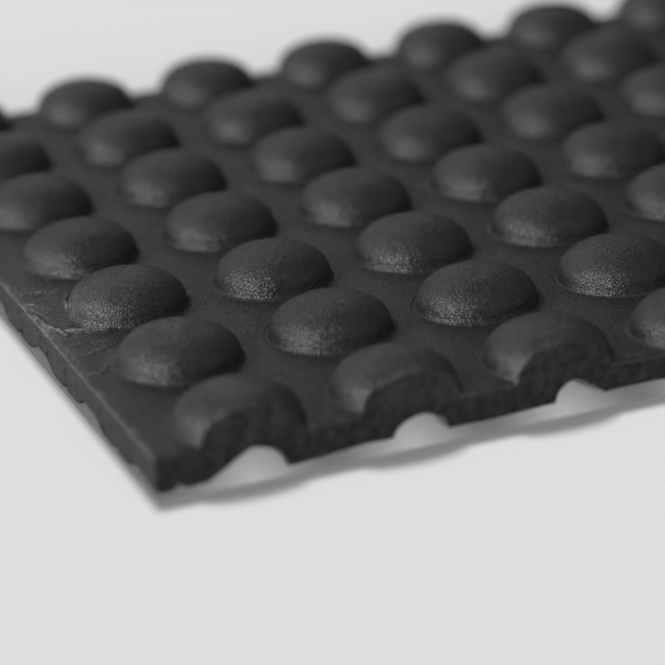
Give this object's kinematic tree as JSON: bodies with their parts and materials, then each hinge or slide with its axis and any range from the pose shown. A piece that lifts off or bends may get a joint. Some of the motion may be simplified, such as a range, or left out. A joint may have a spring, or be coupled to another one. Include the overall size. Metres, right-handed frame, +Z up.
{
  "type": "snowboard stomp pad",
  "caption": "Square moulded rubber traction pad with a grid of raised hollow domes, ribbed underside, adhesive tape strips and a split release liner.",
  "frame": {"origin": "middle of the footprint, on the underside of the release liner", "axes": "+Z up out of the domes, +X along the rows of domes, +Y towards the back edge"},
  "size_m": [0.1248, 0.117, 0.0091],
  "materials": {
    "pad_rubber": "charcoal moulded rubber, satin with a fine pebbled grain",
    "tape": "translucent double-coated film tape",
    "liner_paper": "smooth coated release paper"
  },
  "bodies": {
    "pad": {"dome_pad": "pad_rubber", "tape_strip_1": "tape", "tape_strip_2": "tape", "tape_strip_3": "tape", "tape_strip_4": "tape", "tape_strip_5": "tape", "tape_strip_6": "tape"},
    "liner_half_left": {"liner_left": "liner_paper"},
    "liner_half_right": {"liner_right": "liner_paper"}
  },
  "joints": [
    {"name": "peel_left", "type": "slide", "parent": "pad", "child": "liner_half_left", "axis": [-1, 0, 0], "range_m": [0, 0.08]},
    {"name": "peel_right", "type": "slide", "parent": "pad", "child": "liner_half_right", "axis": [1, 0, 0], "range_m": [0, 0.08]}
  ]
}
